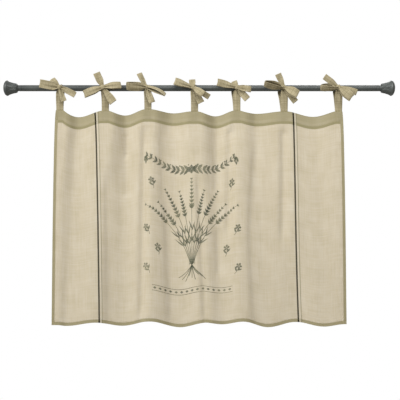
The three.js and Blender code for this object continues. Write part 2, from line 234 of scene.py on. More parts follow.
def finial_profile():
    """Half section as (distance from the tube's end, radius), from the spigot out to the tip."""
    spigot_radius = rod_bore - SPIGOT_PLAY
    lip = SHANK + BELL
    half_shank = SHANK * 0.55
    profile = [(-SPIGOT, 0), (-SPIGOT, spigot_radius), (SPIGOT_PLAY, spigot_radius)]
    profile += [(SPIGOT_PLAY, rod_radius - ROD_CUT_EDGE), (SPIGOT_PLAY + ROD_CUT_EDGE, rod_radius)]
    for share in (-2, -1, 0, 1, 2):
        dip = SHANK_GROOVE * math.exp(-share * share)
        profile.append((half_shank + share * 0.6 * MM, rod_radius - dip))
    profile.append((SHANK, rod_radius))
    profile += curve_between((SHANK, rod_radius), (SHANK, NECK_RADIUS), (SHANK + NECK_ROUND, NECK_RADIUS), 8)
    flare = (lip - BELL_FLARE, NECK_RADIUS + NECK_TAPER)
    profile += curve_between((SHANK + NECK_ROUND, NECK_RADIUS), flare, (lip - LIP_EDGE, LIP_RADIUS), 40)
    profile.append((lip, LIP_RADIUS))
    tip_angle = math.acos(TIP_RADIUS / LIP_RADIUS)
    for step in range(1, 21):
        angle = tip_angle * step / 20
        profile.append((lip + DOME_DEPTH * math.sin(angle), LIP_RADIUS * math.cos(angle)))
    profile.append((lip + DOME_DEPTH * math.sin(tip_angle), 0))
    return profile


def finial_relief(along, radius, angle):
    """Cast relief: pointed leaves with a middle vein on the bell, flutes on the dome."""
    share = (along - SHANK - NECK_ROUND) / (BELL - NECK_ROUND)
    if 0 < share < LEAF_END:
        across = abs((angle * LEAVES / (2 * math.pi)) % 1 - 0.5) * 2
        edge = 0.95 * math.sin(math.pi * min(1, share / LEAF_END) ** 0.6) ** 0.6
        body = max(0, 1 - (across / max(edge, 0.01)) ** 2)
        vein = math.exp(-(across / VEIN_WIDTH) ** 2)
        return LEAF_RELIEF * (body ** 0.5 - VEIN_DEPTH * vein * min(1, body * 2) - LEAF_SINK)
    if along > SHANK + BELL + FLUTE_START and radius > TIP_RADIUS:
        flute = 0.5 + 0.5 * math.cos(DOME_FLUTES * angle)
        return -DOME_RELIEF * flute * min(1, (LIP_RADIUS - radius) / FLUTE_FADE)
    return 0


for finial_name, side in (("finial_left", -1), ("finial_right", 1)):
    finial_points, finial_faces = turned(finial_profile(), FINIAL_SIDES, finial_relief)
    placed = [(side * (x + rod_end), y, z) for x, y, z in finial_points]
    outward = finial_faces if side < 0 else [face[::-1] for face in finial_faces]
    finial = mesh_piece(finial_name + "_cast", placed, outward, graphite, "graphite_metal", [finial_name])
    finial.data.set_sharp_from_angle(angle=math.radians(50))


# Panel
# One length of sheer linen with a woven stripe near each side. Its top is turned to the back as a heading,
# its sides and bottom are turned twice as narrow hems, and it hangs in soft folds between its ties.
CLOTH = 0.6
TURNED_EXTRA = 0.8
HEADING = 35.0
HEADING_STITCH = 8.0
# The turned edge inside the heading lies between these rows, where the cloth is one layer thinner
HEADING_THIN = (18.5, 25.0)
HEADING_FOLD = 1.6
SIDE_HEM = 8.5
BOTTOM_HEM = 9.5
DROP = 590.0
LEFT_EDGE = (-399.5, -413.0)
RIGHT_EDGE = (399.0, 412.0)
STRAP_WIDTH = 20.0
HOLD_MARGIN = 6.0
HOLD_SHARE = 0.3
SAG_POWER = 1.3
PANEL_COLUMNS = 200
PANEL_ROWS = 120
THREAD_SAMPLES = 1200


def rows(columns, *values):
    """Rows of a small table as objects with named columns."""
    return [SimpleNamespace(**dict(zip(columns.split(), row))) for row in values]


# One row for each tie and the ridge of cloth below it, in millimetres
TIES = rows(
    "x hold knot lean depth hem_x hem_depth hem_drop",
    (-389, 62, -1, 0, 8, -396, 2, 663),
    (-262, 64, -6, -1, 9, -289, 7, 655.5),
    (-143, 60, -5, -2, 10, -138, 9, 652),
    (-13, 66, -5, 0, 9, 19, 7, 656),
    (105, 64, -1, -4, 10, 123, 8, 652.5),
    (237, 66, -2, -6, 8, 271, -7, 655.5),
    (389, 66, -2, -3, 8, 409, 4, 660),
)
# One row for each gap between ties and the hollow below it
GAPS = rows(
    "low sag turn depth hem_x hem_depth hem_drop",
    (0.38, 18, 1.05, -4, -373, -2, 666),
    (0.46, 13.5, 1.15, -8, -216, -9, 666.5),
    (0.52, 6.5, 1, -7, -54, -11, 671),
    (0.5, 13, 1.3, -8, 64, -3, 661.5),
    (0.4, 7, 1.3, 0, 193, -5, 670),
    (0.54, 14.5, 0.8, 2, 349, 0, 667.5),
)
# Creases listed one by one: from and to as (x, below the rod), how far the cloth dips, its width and its skew
CREASES = rows(
    "x drop to_x to_drop dip width skew",
    (-354, 90, -350, 300, 1.0, 14, -0.2),
    (-377, 520, -374, 690, 1.0, 11, -0.3),
    (-258, 220, -253, 690, 4.0, 13, -0.3),
    (-216, 88, -207, 200, 6.5, 8, -0.3),
    (-207, 180, -203, 310, 2.5, 10, -0.3),
    (-155, 70, -166, 690, 9.0, 12, -0.3),
    (-105, 80, -102, 340, 2.5, 11, -0.3),
    (-94, 290, -80, 690, 4.0, 12, -0.3),
    (-6, 220, 18, 690, 7.0, 13, -0.3),
    (37, 80, 49, 300, 3.5, 10, -0.3),
    (52, 390, 54, 530, 3.0, 10, -0.3),
    (84, 80, 80, 420, 7.0, 11, -0.3),
    (155, 160, 142, 410, 3.0, 12, -0.3),
    (142, 370, 158, 690, 3.5, 14, -0.3),
    (234, 80, 234, 440, 6.0, 12, -0.3),
)
WRINKLE = 0.55
WRINKLE_WIDTH = 16.0
WRINKLE_LENGTH = 95.0
HAND = 0.7
HAND_SIZE = 48.0
PUCKER = 0.35
PUCKER_SPACING = 7.0
PUCKER_REACH = 7.0
SEAM_DIP = 0.3
SEAM_DIP_REACH = 1.2
WRINKLE_FADE = 25.0
CREASE_FADE = 2.5
# Seams run at this share of a hem's width from the edge
HEM_SEAM = 0.8
# How many extra layers of cloth show, from none to two
LAYERS_TUCKED = 1.4
LAYERS_THIN = 0.82
LAYERS_HEM = 1.15


def mix(a, b, share):
    return a + (b - a) * share


def wave(share):
    return (1 - np.cos(np.pi * share)) / 2


def gap_ends(index):
    return TIES[index].x + STRAP_WIDTH / 2, TIES[index + 1].x - STRAP_WIDTH / 2


def fold_lines():
    """Ridge and hollow lines in order across the panel."""
    lines = []
    for index, tie in enumerate(TIES):
        lines.append(SimpleNamespace(**{**vars(tie), "turn": 1, "hold": STRAP_WIDTH / 2 + HOLD_MARGIN}))
        if index < len(GAPS):
            gap = GAPS[index]
            lines.append(SimpleNamespace(**vars(gap), x=mix(*gap_ends(index), gap.low), hold=0))
    return lines


FOLDS = fold_lines()


def fold_column(name):
    return np.array([float(getattr(fold, name)) for fold in FOLDS])


def top_edge(x):
    """Height of the heading's top edge: level at each strap and sagging between straps."""
    nearest = np.abs(x[:, None] - np.array([tie.x for tie in TIES])).argmin(axis=1)
    height = -np.array([tie.hold for tie in TIES], dtype=float)[nearest]
    for index, gap in enumerate(GAPS):
        start, end = gap_ends(index)
        inside = (x > start) & (x < end)
        share = (x[inside] - start) / (end - start)
        skew = math.log(0.5) / math.log(gap.low)
        level = mix(TIES[index].hold, TIES[index + 1].hold, share)
        height[inside] = -level - gap.sag * np.sin(np.pi * share ** skew) ** SAG_POWER
    return height


def fold_at(x, down):
    """How far the cloth stands to the front, and how far its bottom edge hangs, at x and share down."""
    heading = HEADING / DROP
    below = max(0.0, (down - heading) / (1 - heading))
    flat = max(0.0, 1 - below / HOLD_SHARE)
    line_x = mix(fold_column("x"), fold_column("hem_x"), below)
    depth = mix(fold_column("depth"), fold_column("hem_depth"), below)
    hold = fold_column("hold") * flat
    after = np.searchsorted(line_x, x)
    a = np.clip(after - 1, 0, len(FOLDS) - 1)
    b = np.clip(after, 0, len(FOLDS) - 1)
    span = np.maximum(line_x[b] - hold[b] - line_x[a] - hold[a], 1e-6)
    share = np.clip((x - line_x[a] - hold[a]) / span, 0, 1)
    early = mix(fold_column("turn")[b], 1, below)
    drop = fold_column("hem_drop")
    return mix(depth[a], depth[b], wave(share ** early)), mix(drop[a], drop[b], wave(share))


def thread_line(down):
    """One level thread across the cloth: its points, and their length along the thread."""
    ease = math.sqrt(down)
    x = np.linspace(mix(*LEFT_EDGE, ease), mix(*RIGHT_EDGE, ease), THREAD_SAMPLES)
    points = np.stack([x, -fold_at(x, down)[0], (1 - down) * top_edge(x)], axis=1)
    steps = np.linalg.norm(np.diff(points, axis=0), axis=1)
    return points, np.concatenate([[0], np.cumsum(steps)])


def on_thread(line, across):
    points, along = line
    return np.stack([np.interp(across * along[-1], along, points[:, axis]) for axis in range(3)], axis=1)


def hemmed_stops(length, first_hem, last_hem, count, extra=()):
    """Stops along one side of the cloth, close together where a hem ends or a seam runs."""
    last = length - last_hem
    stops = list(np.linspace(first_hem, last, count + 1))
    stops += [0, 0.6, first_hem / 3, first_hem * 2 / 3, first_hem - 0.8]
    stops += [last + 0.8, length - last_hem * 2 / 3, length - last_hem / 3, length - 0.6, length]
    return np.array(sorted(stops + list(extra)))


def noise_field(x, z, wide, tall, seed):
    """Smooth noise between about -1 and 1 over the cloth, with patches of a given width and height."""
    flat = zip((x / wide).ravel(), (z / tall).ravel())
    return np.array([noise.noise(Vector((u, v, seed))) for u, v in flat]).reshape(x.shape)


def crease_depth(x, drop):
    """How far the hand-laid creases push the cloth back."""
    total = np.zeros_like(x)
    for crease in CREASES:
        run = np.array([crease.to_x - crease.x, crease.to_drop - crease.drop], dtype=float)
        length = np.hypot(*run)
        along = ((x - crease.x) * run[0] + (drop - crease.drop) * run[1]) / length ** 2
        off = ((x - crease.x) * run[1] - (drop - crease.drop) * run[0]) / length
        half = crease.width * np.where(off < 0, 1 + crease.skew, 1 - crease.skew)
        fade = np.minimum(1, CREASE_FADE * np.sin(np.pi * np.clip(along, 0, 1)))
        total += crease.dip * np.exp(-(off / half) ** 2) * fade
    return total


def grid_normals(grid):
    """Unit directions to the front of a grid of points, rows running down and columns to the right."""
    sideways = np.gradient(grid, axis=1)
    downwards = np.gradient(grid, axis=0)
    normal = np.cross(downwards, sideways)
    return normal / np.linalg.norm(normal, axis=2, keepdims=True)


def sheet_skin(front, back):
    """Points and faces of a closed thin sheet from its front and back grids."""
    count, width = front.shape[:2]
    index = np.arange(count * width).reshape(count, width)
    behind = index + count * width
    a, b, c, d = index[:-1, :-1], index[1:, :-1], index[1:, 1:], index[:-1, 1:]
    faces = [np.stack([a, b, c, d], axis=-1).reshape(-1, 4)]
    faces.append(np.stack([a, d, c, b], axis=-1).reshape(-1, 4) + count * width)
    for line, line_behind in (
        (index[0, ::-1], behind[0, ::-1]), (index[-1], behind[-1]),
        (index[:, 0], behind[:, 0]), (index[::-1, -1], behind[::-1, -1]),
    ):
        faces.append(np.stack([line[:-1], line_behind[:-1], line_behind[1:], line[1:]], axis=-1))
    points = np.concatenate([front.reshape(-1, 3), back.reshape(-1, 3)])
    return points * MM, np.concatenate(faces).tolist()


def lay_uv(piece, places):
    """Writes flat places on the cloth, in metres, to the map that the materials read."""
    layer = piece.data.uv_layers.new(name="cloth")
    corners = np.empty(len(piece.data.loops), dtype=np.int32)
    piece.data.loops.foreach_get("vertex_index", corners)
    layer.uv.foreach_set("vector", (places[corners] * MM).astype(np.float32).ravel())


def lay_values(piece, name, values):
    """Writes one number for each point, such as how many layers of cloth lie there."""
    layer = piece.data.attributes.new(name, "FLOAT", "POINT")
    layer.data.foreach_set("value", values.astype(np.float32).ravel())


top_line = thread_line(0)
panel_width = top_line[1][-1]
stitch_row = HEADING - HEADING_STITCH
panel_columns = hemmed_stops(panel_width, SIDE_HEM, SIDE_HEM, PANEL_COLUMNS)
seam_rows = [stitch_row + step for step in (-0.8, 0, 1.5)]
for thin_edge in HEADING_THIN + (HEADING_FOLD,):
    seam_rows += [thin_edge - 0.5, thin_edge + 0.5]
panel_rows = hemmed_stops(DROP, HEADING, BOTTOM_HEM, PANEL_ROWS, seam_rows)
across = panel_columns / panel_width
panel_grid = np.empty((len(panel_rows), len(panel_columns), 3))
for row_index, row in enumerate(panel_rows):
    place = on_thread(thread_line(row / DROP), across)
    hem_drop = fold_at(place[:, 0], row / DROP)[1]
    place[:, 2] = mix(on_thread(top_line, across)[:, 2], -hem_drop, row / DROP)
    panel_grid[row_index] = place

flat_x, flat_row = np.meshgrid(panel_columns, panel_rows)
free = np.clip((flat_row - HEADING) / WRINKLE_FADE, 0, 1)
wrinkles = WRINKLE * noise_field(flat_x, flat_row, WRINKLE_WIDTH, WRINKLE_LENGTH, 3.7)
hand = HAND * noise_field(flat_x, flat_row, HAND_SIZE, HAND_SIZE * 1.4, 9.1)
creased = crease_depth(panel_grid[..., 0], -panel_grid[..., 2])
bottom_seam = DROP - BOTTOM_HEM * HEM_SEAM
from_seam = np.minimum(np.abs(flat_row - stitch_row), np.abs(flat_row - bottom_seam))
pucker_beat = noise_field(flat_x, flat_row, PUCKER_SPACING, 60.0, 5.3)
puckers = PUCKER * pucker_beat * np.exp(-(from_seam / PUCKER_REACH) ** 2)
puckers -= SEAM_DIP * np.exp(-(from_seam / SEAM_DIP_REACH) ** 2)
panel_grid += grid_normals(panel_grid) * (free * (wrinkles + hand - creased) + puckers)[..., None]

turned_back = flat_row < HEADING
side_hems = (flat_x < SIDE_HEM) | (flat_x > panel_width - SIDE_HEM)
hemmed = side_hems | (flat_row > DROP - BOTTOM_HEM)
tucked = turned_back & ((flat_row > stitch_row) | (flat_row < HEADING_FOLD))
thinned = (flat_row > HEADING_THIN[0]) & (flat_row < HEADING_THIN[1])
heading_layers = np.where(tucked, LAYERS_TUCKED, np.where(thinned, LAYERS_THIN, 1.0))
layers = np.where(hemmed, LAYERS_HEM, np.where(turned_back, heading_layers, 0.0))
panel_normals = grid_normals(panel_grid)
back_offset = CLOTH / 2 + TURNED_EXTRA * np.minimum(layers, 1)
panel_front = panel_grid + panel_normals * CLOTH / 2
panel_back = panel_grid - panel_normals * back_offset[..., None]


FLAX_DARK = "cfc3a4"
FLAX_MID = "dacfb5"
FLAX_PALE = "e3dac5"
FLAX_TURNED = "a09972"
STRIPE_LEFT = 117.0
STRIPE_APART = 589.0
STRIPE_WIDTH = 20.0
# One row for each band of a stripe: from and to in millimetres, its yarn's colour and how much of it shows
STRIPE_BANDS = rows(
    "start end colour cover",
    (0.0, 4.6, "2b2616", 1.0),
    (4.6, 10.0, "ece6d6", 0.48),
    (10.0, 12.0, "7f775d", 0.7),
)
# The warp leans to the right as it hangs, by this much at the bottom of each stripe
LEFT_LEAN = 17.5
RIGHT_LEAN = 6.5
THREAD_SPACING = 1.6
SLUB_WIDTH = 3.2
SLUB_LENGTH = 80.0
CLOUD_SIZE = 42.0
# Shares of light: let through by the threads, and passing between them in one layer,
# in turned cloth, and in a stripe against plain cloth
GLOW_SHARE = 0.3
OPEN_SINGLE = 0.3
OPEN_TURNED = 0.06
OPEN_STRIPE = 0.2


def lines(tree, place, direction, spacing):
    """Even lines across a direction; a wave texture at scale 1 turns by 20 radians over one metre."""
    scale = 2 * math.pi / 20 / spacing
    made = add_node(tree, "ShaderNodeTexWave", {"bands_direction": direction}, Vector=place, Scale=scale)
    return made.outputs["Fac"]


def linen_face(tree, colour, bump):
    """The dry matt face of linen, with a slight sheen from its loose fibres."""
    made = add_node(tree, "ShaderNodeBsdfPrincipled", Base_Color=colour, Roughness=0.9, Normal=bump,
                    Specular_IOR_Level=0.25, Sheen_Weight=0.15, Sheen_Roughness=0.5)
    return made.outputs["BSDF"]


def linen_bump(tree, relief, strength):
    bump = add_node(tree, "ShaderNodeBump", Height=relief, Strength=strength, Distance=0.25 * MM)
    return bump.outputs["Normal"]


def linen_threads(tree, spot):
    """Slubs along both directions of the weave, and the weave's own relief.
    The real threads are 0.5 mm apart; they are drawn 1.6 mm apart so that they show."""
    thin = 1 / (SLUB_WIDTH * MM)
    long = 1 / (SLUB_LENGTH * MM)
    slubs = []
    waves = []
    for direction, scale in (("X", (thin, long, 1.0)), ("Y", (long, thin, 1.0))):
        stretched = add_node(tree, "ShaderNodeMapping", Vector=spot, Scale=scale)
        slubs.append(patches(tree, stretched.outputs["Vector"], 1.0, 2.0))
        waves.append(lines(tree, spot, direction, THREAD_SPACING * MM))
    return calculate(tree, "ADD", *slubs), calculate(tree, "ADD", *waves)


def woven_stripe(tree, spot):
    """Tint of the two woven stripes: a dark line, a pale band beside it and a thin line at its far edge."""
    side = add_node(tree, "ShaderNodeSeparateXYZ", Vector=spot).outputs["X"]
    offset = calculate(tree, "SUBTRACT", side, STRIPE_LEFT * MM)
    both = calculate(tree, "FLOORED_MODULO", offset, STRIPE_APART * MM)
    tint = add_node(tree, "ShaderNodeValToRGB", Fac=rescale(tree, both, From_Max=STRIPE_WIDTH * MM))
    tint.color_ramp.interpolation = "CONSTANT"
    stops = [(band.start / STRIPE_WIDTH, linear(band.colour)[:3] + [band.cover]) for band in STRIPE_BANDS]
    stops.append((STRIPE_BANDS[-1].end / STRIPE_WIDTH, [1.0, 1.0, 1.0, 0.0]))
    ramp_stops(tint, stops)
    return tint.outputs["Color"], tint.outputs["Alpha"]


def sheer_linen():
    """Plain-weave flax, bleached little: uneven threads, cloudy patches, light coming through the weave.
    Where the cloth is turned it lies in two or three layers, which look darker and let less light through."""
    made, tree, out = new_material("sheer_linen_plain_weave")
    spot = add_node(tree, "ShaderNodeUVMap", {"uv_map": "cloth"}).outputs["UV"]
    layered = add_node(tree, "ShaderNodeAttribute", {"attribute_name": "layers"}).outputs["Fac"]
    slubs, relief = linen_threads(tree, spot)
    clouds = patches(tree, spot, CLOUD_SIZE * MM, 4.0)
    uneven = add_node(tree, "ShaderNodeMath", {"operation": "MULTIPLY_ADD"}, s0=slubs, s1=0.7, s2=clouds)
    shade = rescale(tree, uneven.outputs["Value"], From_Min=0.75, From_Max=1.65)
    flax = shades(tree, shade, (0.0, FLAX_DARK), (0.5, FLAX_MID), (1.0, FLAX_PALE))
    depth = rescale(tree, layered, From_Max=1.5, To_Max=0.95)
    turned_tint = mix_colours(tree, depth, flax, linear(FLAX_TURNED))
    stripe_colour, stripe_share = woven_stripe(tree, spot)
    stripe_cover = rescale(tree, layered, To_Min=0.9, To_Max=1.0)
    stripe_amount = calculate(tree, "MULTIPLY", stripe_share, stripe_cover)
    colour = mix_colours(tree, stripe_amount, turned_tint, stripe_colour)
    bump = linen_bump(tree, relief, 0.2)
    face = linen_face(tree, colour, bump)
    glow = add_node(tree, "ShaderNodeBsdfTranslucent", Color=colour, Normal=bump).outputs["BSDF"]
    cloth = add_node(tree, "ShaderNodeMixShader", Fac=GLOW_SHARE, s1=face, s2=glow).outputs["Shader"]
    open_weave = rescale(tree, layered, To_Min=OPEN_SINGLE, To_Max=OPEN_TURNED)
    filled = rescale(tree, stripe_amount, To_Min=1.0, To_Max=OPEN_STRIPE)
    see_through = calculate(tree, "MULTIPLY", open_weave, filled)
    gaps = add_node(tree, "ShaderNodeBsdfTransparent").outputs["BSDF"]
    sheer = add_node(tree, "ShaderNodeMixShader", Fac=see_through, s1=cloth, s2=gaps)
    tree.links.new(sheer.outputs["Shader"], out.inputs["Surface"])
    return made


panel = mesh_piece("panel_cloth", *sheet_skin(panel_front, panel_back), sheer_linen(), "panel_linen",
                   ["curtain_panel"])
hung = flat_row / DROP
between_stripes = np.clip((flat_x - STRIPE_LEFT) / STRIPE_APART, 0, 1)
warp_lean = mix(LEFT_LEAN * np.sqrt(hung), RIGHT_LEAN * hung ** 3, between_stripes)
flat_places = np.stack([(flat_x - warp_lean).ravel(), flat_row.ravel()], axis=1)
lay_uv(panel, np.concatenate([flat_places, flat_places]))
lay_values(panel, "layers", np.concatenate([layers.ravel(), layers.ravel()]))
panel.data.set_sharp_from_angle(angle=math.radians(60))


# Straps
# Each tie is two straps of the same linen, folded double and sewn flat behind the heading.
# One rises in front of the rod, the other behind it and over its top, and both run into the knot.
STRAP = 0.9
STRAP_SEWN = 25.0
STRAP_TOP_WIDTH = 13.0
STRAP_CLEAR = 0.35
STRAP_FOLD = 1.2
STRAP_STEPS = 44
RIBBON_COLUMNS = 13
WRAP_START = -10.0
WRAP_END = 158.0
WRAP_STEPS = 12
KNOT_Y = -15.0
KNOT_Z = 1.0
KNOT_ACROSS = 7.0
KNOT_DEEP = 5.5
KNOT_TALL = 7.0
# One row for each bend of a front strap above the heading
STRAP_BENDS = rows(
    "rise sideways front width",
    (0.4, 0.0, 10.0, STRAP_WIDTH),
    (0.7, 0.1, 11.5, STRAP_WIDTH),
    (0.88, 0.5, 11.8, STRAP_WIDTH - 2),
    (1.0, 1.0, 12.1, STRAP_TOP_WIDTH),
)
TIE_DARK = "847b5e"
TIE_MID = "a3997b"
TIE_PALE = "bbb094"
# Darker flax used both for painted shade in tucked folds and for worn patches
TIE_TUCK_SHADE_AND_WEAR = "62583a"
TIE_FADE = 22.0
# How far the ambient occlusion behind the painted shade looks for nearby cloth
TUCK_SHADE_REACH = 14.0
RIBBON_EDGE = 0.86


def doubled_linen():
    """The panel's linen folded double and pressed: no light through it, a darker flax, and folded edges
    painted lighter as a highlight.
    It darkens in a few worn patches, and painted shade darkens it wherever a fold is tucked away from the
    light."""
    made, tree, out = new_material("doubled_linen_pressed")
    spot = add_node(tree, "ShaderNodeUVMap", {"uv_map": "cloth"}).outputs["UV"]
    edge = add_node(tree, "ShaderNodeAttribute", {"attribute_name": "edge"}).outputs["Fac"]
    place = add_node(tree, "ShaderNodeTexCoord").outputs["Object"]
    slubs, relief = linen_threads(tree, spot)
    shade = rescale(tree, slubs, From_Min=0.6, From_Max=1.4)
    flax = shades(tree, shade, (0.0, TIE_DARK), (0.5, TIE_MID), (1.0, TIE_PALE))
    # Painted highlight: the folded edges of each strap and bow are painted lighter
    painted_edge_highlight = mix_colours(tree, rescale(tree, edge, To_Max=0.45), flax, linear(TIE_PALE))
    worn = patches(tree, place, TIE_FADE * MM, 2.0)
    fade = rescale(tree, worn, From_Min=0.4, From_Max=0.7, To_Max=0.3)
    # Painted shade: ambient occlusion darkens the colour in pleats, tucks and near the knots; worn patches
    # share the same darker flax
    open_to_light = add_node(tree, "ShaderNodeAmbientOcclusion", Distance=TUCK_SHADE_REACH * MM).outputs["AO"]
    painted_tuck_shade = rescale(tree, open_to_light, From_Min=0.15, From_Max=0.6, To_Min=0.7, To_Max=0.0)
    colour = mix_colours(tree, calculate(tree, "MAXIMUM", painted_tuck_shade, fade), painted_edge_highlight, linear(TIE_TUCK_SHADE_AND_WEAR))
    face = linen_face(tree, colour, linen_bump(tree, relief, 0.4))
    tree.links.new(face, out.inputs["Surface"])
    return made


def smooth_path(stops, count):
    """Even steps along a smooth curve through stops, which are rows of x, y, z and width."""
    stops = np.array(stops, dtype=float)
    reach = np.concatenate([[0], np.cumsum(np.linalg.norm(np.diff(stops[:, :3], axis=0), axis=1))])
    slope = np.gradient(stops, reach, axis=0)
    places = np.linspace(0, reach[-1], count)
    after = np.clip(np.searchsorted(reach, places), 1, len(reach) - 1)
    span = (reach[after] - reach[after - 1])[:, None]
    t = ((places - reach[after - 1])[:, None]) / span
    a, b = stops[after - 1], stops[after]
    pull = t * (1 - t) ** 2 * slope[after - 1] * span - t * t * (1 - t) * slope[after] * span
    return a * (1 + 2 * t) * (1 - t) ** 2 + b * t * t * (3 - 2 * t) + pull


def ribbon_skin(path, sideways, thickness, shape=None):
    """Front and back grids of a ribbon along a path of x, y, z and width; shape(share, v) lifts its face."""
    centre = path[:, :3]
    along = np.gradient(centre, axis=0)
    along /= np.linalg.norm(along, axis=1, keepdims=True)
    side = sideways - along * np.sum(sideways * along, axis=1, keepdims=True)
    side /= np.linalg.norm(side, axis=1, keepdims=True)
    up = np.cross(along, side)
    v = np.linspace(-1, 1, RIBBON_COLUMNS)
    share = np.linspace(0, 1, len(path))[:, None]
    lift = shape(share, v[None, :]) if shape else np.zeros((len(path), len(v)))
    spread = (path[:, 3, None] / 2 * v)[..., None]
    grid = centre[:, None] + side[:, None] * spread + up[:, None] * lift[..., None]
    rolled = thickness / 2 * np.sqrt(np.clip(1.25 - v ** 8, 0.25, 1))
    normals = grid_normals(grid)
    return grid + normals * rolled[None, :, None], grid - normals * rolled[None, :, None]


def ribbon_places(path):
    """Flat places and edge values for a ribbon's front and back points."""
    length = np.concatenate([[0], np.cumsum(np.linalg.norm(np.diff(path[:, :3], axis=0), axis=1))])
    v = np.linspace(-1, 1, RIBBON_COLUMNS)
    down = np.broadcast_to(length[:, None], (len(path), len(v)))
    flat = np.stack([path[:, 3, None] / 2 * v, down], axis=-1)
    edge = np.broadcast_to(np.abs(v) > RIBBON_EDGE, flat.shape[:2])
    area = np.sum((path[1:, 3] + path[:-1, 3]) / 2 * np.diff(length))
    return np.tile(flat.reshape(-1, 2), (2, 1)), np.tile(edge.ravel(), 2), area


def sewn_depth(tie, layer):
    """Middle of a strap's depth where it is sewn flat behind the heading."""
    return -tie.depth + CLOTH / 2 + TURNED_EXTRA + STRAP_CLEAR + STRAP / 2 + layer * (STRAP + 0.2)


def front_strap_path(tie):
    y = sewn_depth(tie, 0)
    stops = [(tie.x, y, -tie.hold - below, STRAP_WIDTH) for below in (STRAP_SEWN, STRAP_SEWN / 2, 0)]
    for bend in STRAP_BENDS:
        z = mix(-tie.hold, KNOT_Z - KNOT_TALL, bend.rise)
        stops.append((tie.x + bend.sideways * tie.knot, -bend.front, z, bend.width))
    return smooth_path(stops, STRAP_STEPS)


def back_strap_path(tie):
    y = sewn_depth(tie, 1)
    radius = rod_radius / MM + STRAP_CLEAR + STRAP / 2
    stops = [(tie.x, y, -tie.hold - below, STRAP_WIDTH) for below in (STRAP_SEWN, STRAP_SEWN / 2, 0)]
    stops.append((tie.x + tie.lean / 2, mix(y, radius, 0.5), -tie.hold / 2, STRAP_WIDTH))
    for step in range(WRAP_STEPS + 1):
        share = step / WRAP_STEPS
        angle = math.radians(mix(WRAP_START, WRAP_END, share))
        x = tie.x + mix(tie.lean, tie.knot, share)
        width = mix(STRAP_WIDTH, STRAP_TOP_WIDTH, share)
        stops.append((x, radius * math.cos(angle), radius * math.sin(angle), width))
    return smooth_path(stops, STRAP_STEPS * 2)


def strap_shape(number):
    """How a strap is creased: flat where it is sewn, then in folds that deepen towards the knot."""
    turn = 1.9 * number

    def shape(share, v):
        gather = np.clip((share - 0.3) / 0.7, 0, 1) ** 1.3
        folds = np.cos((1.6 + 0.5 * math.sin(turn)) * np.pi * v + turn + 0.8 * share)
        return STRAP_FOLD * gather * folds * (1 - 0.4 * v * v)
    return shape


def add_ribbon(name, path, sideways, shape, replaced):
    """One strap as a piece, with its weave laid along it."""
    front, back = ribbon_skin(path, np.broadcast_to(sideways, (len(path), 3)), STRAP, shape)
    piece = mesh_piece(name, *sheet_skin(front, back), tie_linen, "tie_linen", replaced)
    flat, edge, area = ribbon_places(path)
    lay_uv(piece, flat)
    lay_values(piece, "edge", edge)
    return piece


tie_linen = doubled_linen()
ALONG_ROD = np.array([1.0, 0.0, 0.0])
for number, tie in enumerate(TIES, start=1):
    for strap_name, path in (("front_strap", front_strap_path(tie)), ("back_strap", back_strap_path(tie))):
        node = f"tie_{number}_{strap_name}"
        add_ribbon(node + "_cloth", path, ALONG_ROD, strap_shape(number), [node])


# Bows
# The free ends of each pair of straps, tied in front of the rod: a pulled knot, loops and cut ends.
# Each one was tied by hand, so no two loops have the same reach, turn or sag.
RIBBON = 0.9
RIBBON_KNOT_WIDTH = 9.0
LOOP_START = 0.35
LOOP_STEPS = 56
TAIL_STEPS = 26
KNOT_SIDES = 40
KNOT_RINGS = 26
KNOT_PLEAT = 0.55
KNOT_PLEAT_SPACING = 4.6
KNOT_SQUARE = 0.35
PLEAT = 1.9
CUP = 1.6
# One row for each loop or free end, seen from the front: turn in degrees from the right towards the top,
# fore how far its end stands to the front, bulge half a loop's opening, roll its turn about its own length,
# droop how far its end sags and spread the share of its reach at which it has its full width
BOW_COLUMNS = "form turn reach width fore bulge roll droop spread"
BOWS = [
    rows(BOW_COLUMNS,
         ("loop", 170, 52, 23, 10, 5, -8, 0, 0.3), ("loop", 131, 31, 16, -6, 3, 10, 0, 0.6),
         ("tail", -22, 50, 17, 7, 0, 8, 4, 0.5), ("tail", -70, 42, 15, 3, 0, -14, 0, 0.8)),
    rows(BOW_COLUMNS,
         ("tail", 114, 43, 20, 3, 0, 10, 0, 0.5), ("loop", 200, 54, 20, 10, 5, 6, 3, 0.55),
         ("loop", 9, 52, 19, 9, 5, -6, 4, 0.6), ("tail", -55, 52, 23, 6, 0, 12, 1, 0.8)),
    rows(BOW_COLUMNS,
         ("loop", 179, 53, 22, 16, 7, -30, 0, 0.4), ("tail", 116, 44, 16, -6, 0, 24, 0, 0.6),
         ("loop", -12, 55, 15, 9, 4, -54, 11, 0.5), ("tail", -68, 47, 18, 4, 0, -10, 0, 0.6)),
    rows(BOW_COLUMNS,
         ("loop", 163, 52, 20, 10, 5, 4, 0, 0.9), ("tail", 95, 22, 18, -6, 0, 0, 0, 0.6),
         ("loop", -38, 37, 19, 14, 5.5, -12, 0, 0.6), ("tail", -30, 53, 16, 5, 0, 10, 2, 0.6),
         ("tail", -62, 50, 20, 3, 0, -12, 0, 0.9)),
    rows(BOW_COLUMNS,
         ("loop", 167, 55, 20, 10, 5, -4, 0, 0.7), ("tail", 112, 19, 16, -6, 0, 0, 0, 0.6),
         ("loop", -10, 40, 17, 12, 5, 6, 1, 0.5), ("tail", -48, 45, 19, 4, 0, 10, 1, 0.7)),
    rows(BOW_COLUMNS,
         ("tail", 114, 40, 18, 2, 0, 6, 0, 0.7), ("loop", 171, 55, 20, 10, 6.5, -52, 0, 0.6),
         ("loop", -28, 43, 25, 13, 5, -16, 2, 0.6), ("tail", -51, 53, 17, 1, 0, 8, 0, 0.7)),
    rows(BOW_COLUMNS,
         ("tail", 144, 49, 18, 4, 0, 4, 0, 0.5), ("loop", 183, 51, 19, 11, 6.5, -40, 0, 0.8),
         ("tail", -13, 53, 17, 1, 0, 6, 3, 0.6), ("loop", -41, 46, 24, 13, 5, -10, 1, 0.6)),
]


